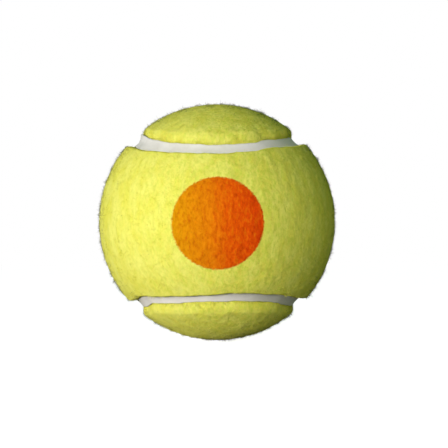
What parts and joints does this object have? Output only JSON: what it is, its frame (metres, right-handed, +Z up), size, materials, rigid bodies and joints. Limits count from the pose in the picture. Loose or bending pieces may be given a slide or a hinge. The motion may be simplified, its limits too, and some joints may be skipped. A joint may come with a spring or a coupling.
{
  "type": "junior tennis ball",
  "caption": "Low-compression junior tennis ball: cloth panels on a hollow rubber core, with a recessed rubber seam and a round printed dot.",
  "frame": {"origin": "centre of the ball", "axes": "-Y out through the middle of the printed dot, +Z up across the front panel's narrow waist, +X along its length"},
  "size_m": [0.066, 0.066, 0.066],
  "materials": {
    "yellow_felt": "matte",
    "orange_dye": "matte",
    "seam_rubber": "matte",
    "core_rubber": "matte",
    "cement": "satin"
  },
  "bodies": {
    "root": {"core_half_top": "core_rubber", "core_half_bottom": "core_rubber", "core_bond": "cement", "backing_cement_front": "cement", "backing_cement_rear": "cement", "felt_panel_front": "yellow_felt", "felt_panel_rear": "yellow_felt", "seam_rubber": "seam_rubber", "printed_dot": "orange_dye"}
  },
  "joints": []
}
